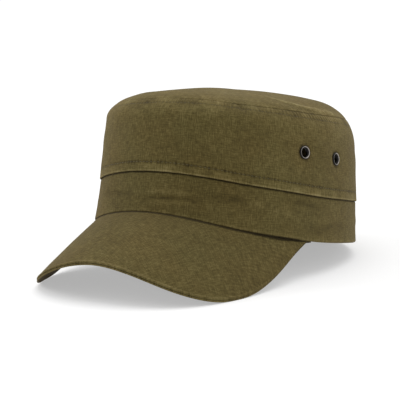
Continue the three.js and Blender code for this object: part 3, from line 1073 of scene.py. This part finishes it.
# surface(angles) gives the row's points on the cloth and the ways out of it
def stitchRow(name, surface, seed):
    look = stitchLook
    rings, sides = look["rings"], look["sides"]
    count = round(loopLength / look["pitch"])
    pitch = loopLength / count
    random = np.random.default_rng(seed)
    starts = (np.arange(count) + 0.5) * pitch - loopLength / 2 + random.normal(0, 0.07, count)
    lengths = look["length"] * random.normal(1, 0.05, count)
    along = starts[:, None] + np.linspace(-0.5, 0.5, rings) * lengths[:, None]
    along = (along + loopLength / 2) % loopLength - loopLength / 2
    middle, out = (part.reshape(count, rings, 3) for part in surface(angleAt(along).ravel()))
    way = np.gradient(middle, axis=1)
    way /= np.linalg.norm(way, axis=-1, keepdims=True)
    side = np.cross(way, out)
    side /= np.linalg.norm(side, axis=-1, keepdims=True)
    out = np.cross(side, way)
    share = np.linspace(0, 1, rings)
    arch = look["arch"] * np.sin(math.pi * share) - look["sink"]
    body = look["thick"] / 2 * np.sqrt(np.clip(1 - (2 * share - 1) ** 6, 0.06, 1))
    turn = np.linspace(0, 2 * math.pi, sides, endpoint=False)
    slant = random.normal(0, 0.05, (count, 1)) * (2 * share - 1)
    centre = middle + out * arch[None, :, None] + side * slant[..., None]
    around = side[:, :, None] * np.cos(turn)[:, None] + out[:, :, None] * np.sin(turn)[:, None]
    points = centre[:, :, None] + around * body[None, :, None, None]
    wide = np.broadcast_to(np.arange(sides) * 0.25, (count, rings, sides))
    long = np.broadcast_to((share * look["length"])[None, :, None], (count, rings, sides))
    grain = np.stack([long, wide], axis=-1).reshape(-1, 2)
    faces, corners = threadFaces(count)
    piece = makePiece(name, points.reshape(-1, 3), faces, grain[corners], {}, topstitchThread)
    seat(piece, "crown_cloth")


def sideSurface(angle, length):
    points, _, _ = sidePoint(angle, length, 0 * length)
    _, out = crownFrame(angle, length)
    return points, out


def overLap(angle):
    return sideSurface(angle, np.full((1, len(angle)), sidePanelLook["rowRise"]))


def underTopSeam(angle):
    seamLength, _ = crownLengths(angle)
    return sideSurface(angle, (seamLength - sidePanelLook["seamRowFall"])[None])


stitchRow("lapStitches", overLap, 31)
stitchRow("seamStitches", underTopSeam, 32)

# Eyelets: a crowned ring outside, a barrel through the cloth and a rolled ring inside
gunmetal = {
    "dark": (0.020, 0.019, 0.018),
    "bright": (0.43, 0.39, 0.345),
    "crest": 3.75,          # where the finish is worn bright and a highlight is painted on it, from the middle
    "crestWidth": 0.24,
    "sides": 72,
}


def metalMaterial():
    material, shader, links = newFinish("gunmetal")
    place = addNode(material, "ShaderNodeTexCoord").outputs["Object"]
    patches = noiseNode(material, place, 700, 3)
    crest = markNode(material, "wearAndHighlight")
    value = weighted(material, [(crest, 0.9), (patches, 0.5)], -0.25)
    colour = colourRamp(material, value, [(0.1, gunmetal["dark"]), (0.9, gunmetal["bright"])])
    links.new(colour, shader.inputs["Base Color"])
    links.new(weighted(material, [(patches, 0.25), (crest, -0.1)], 0.32), shader.inputs["Roughness"])
    addRelief(material, shader, patches, 0.3, 0.04)
    shader.inputs["Metallic"].default_value = 1
    return material


gunmetalFinish = metalMaterial()


# The ring's section as reach and height over the cloth, closed on itself
def eyeletOutline():
    bore = eyeletPlan["hole"] / 2
    barrel = bore + eyeletPlan["wall"]
    flange = eyeletPlan["flange"] / 2
    roll = eyeletPlan["back"] / 2
    over = -0.25
    under = -crownForm["clothThick"] - 0.1
    outline = [(flange, over)]
    for share in np.linspace(0, 1, 18):
        reach = flange + (bore - flange) * share
        rise = math.sin(math.pi * min(1, share * 1.18)) ** 0.7 if share < 0.85 else 0
        outline.append((reach, over + 0.12 + eyeletPlan["crown"] * 0.85 * rise))
    outline.append((bore, under))
    for turn in np.linspace(math.pi, 2 * math.pi, 9)[1:]:
        reach = (bore + roll) / 2 + (roll - bore) / 2 * math.cos(turn)
        outline.append((reach, under + eyeletPlan["crown"] * math.sin(turn)))
    outline.append((barrel, under + 0.05))
    outline.append((barrel, over))
    return np.array(outline)


def makeEyelet(name, node, middle, out):
    side = np.cross([0, 0, 1], out)
    side /= np.linalg.norm(side)
    upward = np.cross(out, side)
    outline = eyeletOutline()
    count, sides = len(outline), gunmetal["sides"]
    turn = np.linspace(0, 2 * math.pi, sides, endpoint=False)
    around = side * np.cos(turn)[:, None] + upward * np.sin(turn)[:, None]
    points = middle + outline[:, None, 0:1] * around[None] + outline[:, None, 1:2] * out
    faces, cornerRow, cornerStep = ringFaces(count, sides)
    grain = np.stack([cornerStep * 0.4, cornerRow * 0.4], axis=-1)
    front = outline[:, 1] > -0.3
    # the crest is marked pale: its finish worn bright, with a painted highlight
    shine = bell(outline[:, 0], gunmetal["crest"], gunmetal["crestWidth"]) * front
    shine = np.broadcast_to(shine[:, None], (count, sides))
    piece = makePiece(name, points.reshape(-1, 3), faces.tolist(), grain, {"wearAndHighlight": shine}, gunmetalFinish)
    seat(piece, "eyelet_metal", node)


for (hand, spot), (middle, out) in eyeletSeats.items():
    makeEyelet("eyelet" + hand.title() + spot.title(), f"eyelet_{hand}_{spot}", middle, out)

# Floor, light and camera
studio = {
    "floorColour": 0.57,
    "floorGlow": 0.415,     # the floor is a lit white table, so shadows stay pale
    "floorReach": 30,       # metres
    "sky": 0.66,
    "sun": {"strength": 1.4, "angle": 60, "from": (0.05, 0.2, 1)},
    "lamps": {
        "leftLamp": {"place": (-1.5, -0.5, 0.95), "size": 0.9, "power": 9},
        "rightLamp": {"place": (1.6, 0.5, 0.6), "size": 0.9, "power": 2.4},
    },
}


def makeFloor():
    mesh = bpy.data.meshes.new("floor")
    reach = studio["floorReach"]
    corners = [(-reach, -reach, 0), (reach, -reach, 0), (reach, reach, 0), (-reach, reach, 0)]
    mesh.from_pydata(corners, [], [(0, 1, 2, 3)])
    material, shader, _ = newFinish("paleFloor")
    shader.inputs["Base Color"].default_value = (*[studio["floorColour"]] * 3, 1)
    shader.inputs["Roughness"].default_value = 0.9
    shader.inputs["Specular IOR Level"].default_value = 0
    shader.inputs["Emission Color"].default_value = (1, 1, 1, 1)
    shader.inputs["Emission Strength"].default_value = studio["floorGlow"]
    mesh.materials.append(material)
    addObject("floor", mesh)


def addLamp(name, kind, place, aim):
    light = bpy.data.lights.new(name, kind)
    lamp = addObject(name, light)
    lamp.location = place
    lamp.rotation_euler = (Vector(aim) - Vector(place)).to_track_quat("-Z", "Y").to_euler()
    return light


makeFloor()
world = bpy.data.worlds.new("studio")
bpy.context.scene.world = world
world.use_nodes = True
world.node_tree.nodes["Background"].inputs["Color"].default_value = (1, 1, 1, 1)
world.node_tree.nodes["Background"].inputs["Strength"].default_value = studio["sky"]
sun = addLamp("softSun", "SUN", studio["sun"]["from"], (0, 0, 0))
sun.energy = studio["sun"]["strength"]
sun.angle = math.radians(studio["sun"]["angle"])
for name, look in studio["lamps"].items():
    lamp = addLamp(name, "AREA", look["place"], (0, 0, 0.06))
    lamp.shape = "DISK"
    lamp.size = look["size"]
    lamp.energy = look["power"]
bpy.context.scene.view_settings.view_transform = "Standard"

# The photograph's view: how the camera stands from the middle of the band's lower edge,
# and the pixel where that middle lies in the picture
photoView = {
    "azimuth": 31.1, "elevation": 10.3, "distance": 1.1, "roll": -1.27,
    "focal": 1550, "side": 400, "acrossPixel": 226.6, "downPixel": 233.8,
}


def makeCamera():
    look = photoView
    azimuth, elevation, roll = (math.radians(look[part]) for part in ("azimuth", "elevation", "roll"))
    level = math.cos(elevation)
    stand = Vector((math.sin(azimuth) * level, -math.cos(azimuth) * level, math.sin(elevation)))
    right = Vector((math.cos(azimuth), math.sin(azimuth), 0))
    upward = stand.cross(right)
    across = right * math.cos(roll) + upward * math.sin(roll)
    above = upward * math.cos(roll) - right * math.sin(roll)
    half = look["side"] / 2
    sideways = across * (half - look["acrossPixel"])
    aim = -stand * look["focal"] + sideways + above * (look["downPixel"] - half)
    back = -aim.normalized()
    across = above.cross(back).normalized()
    above = back.cross(across)
    camera = bpy.data.cameras.new("camera")
    camera.sensor_width = 36
    camera.lens = look["focal"] / look["side"] * camera.sensor_width
    camera.clip_end = 100
    body = addObject("camera", camera)
    middle = Vector(toRest(np.zeros(3)))
    turned = Matrix((across, above, back)).transposed().to_4x4()
    body.matrix_world = Matrix.Translation(middle + stand * look["distance"]) @ turned
    bpy.context.scene.camera = body


makeCamera()
print("studio ready")
